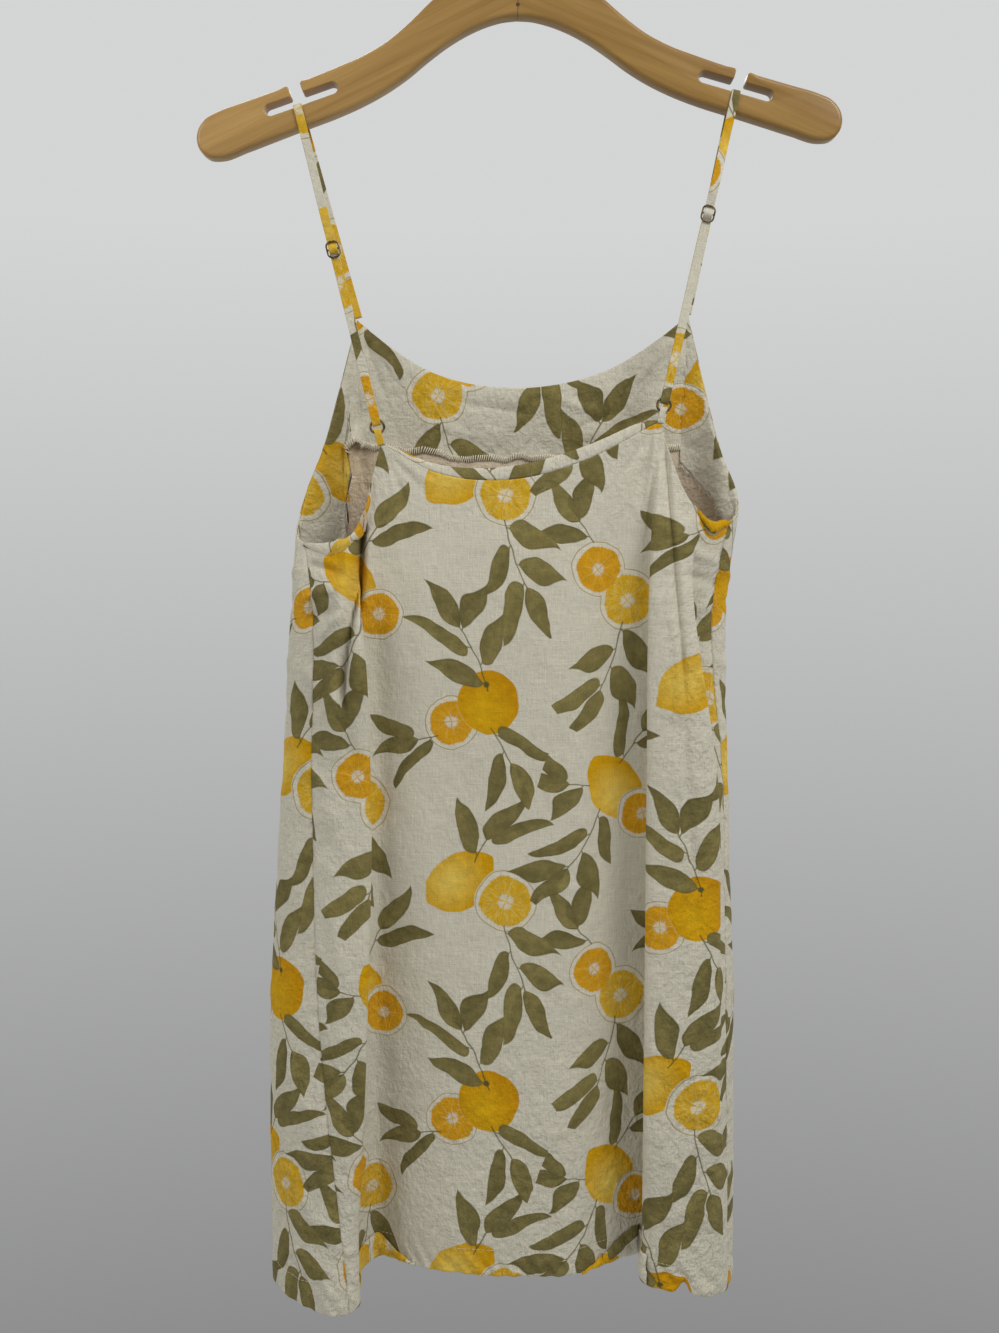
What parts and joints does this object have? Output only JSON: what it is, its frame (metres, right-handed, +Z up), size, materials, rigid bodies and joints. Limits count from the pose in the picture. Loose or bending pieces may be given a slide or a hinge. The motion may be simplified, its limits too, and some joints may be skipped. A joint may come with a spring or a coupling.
{
  "type": "mini dress on hanger",
  "caption": "Sleeveless slip mini dress with thin adjustable straps and a fruit-and-leaf print, hanging on a slotted wooden hanger.",
  "frame": {"origin": "inside of the hook's crown, where a rail carries the hanger", "axes": "+Z up, +X to the right of the dress seen from its back, the back of the dress faces -Y"},
  "size_m": [0.4454, 0.1048, 1.0165],
  "materials": {
    "cloth": "crinkled cotton and linen plain weave, cream, with a printed fruit-and-leaf pattern",
    "wood": "clear-lacquered light hardwood",
    "steel": "plated steel wire",
    "old_brass": "dark antique brass"
  },
  "bodies": {
    "root": {"back_panel": "cloth", "front_panel": "cloth", "front_facing": "cloth", "back_facing": "cloth", "strap_left": "cloth", "strap_right": "cloth", "ring_loop_left": "cloth", "ring_loop_right": "cloth", "ring_left": "old_brass", "ring_right": "old_brass", "slider_left": "old_brass", "slider_right": "old_brass", "hanger_body": "wood", "hanger_hook": "steel"}
  },
  "joints": []
}
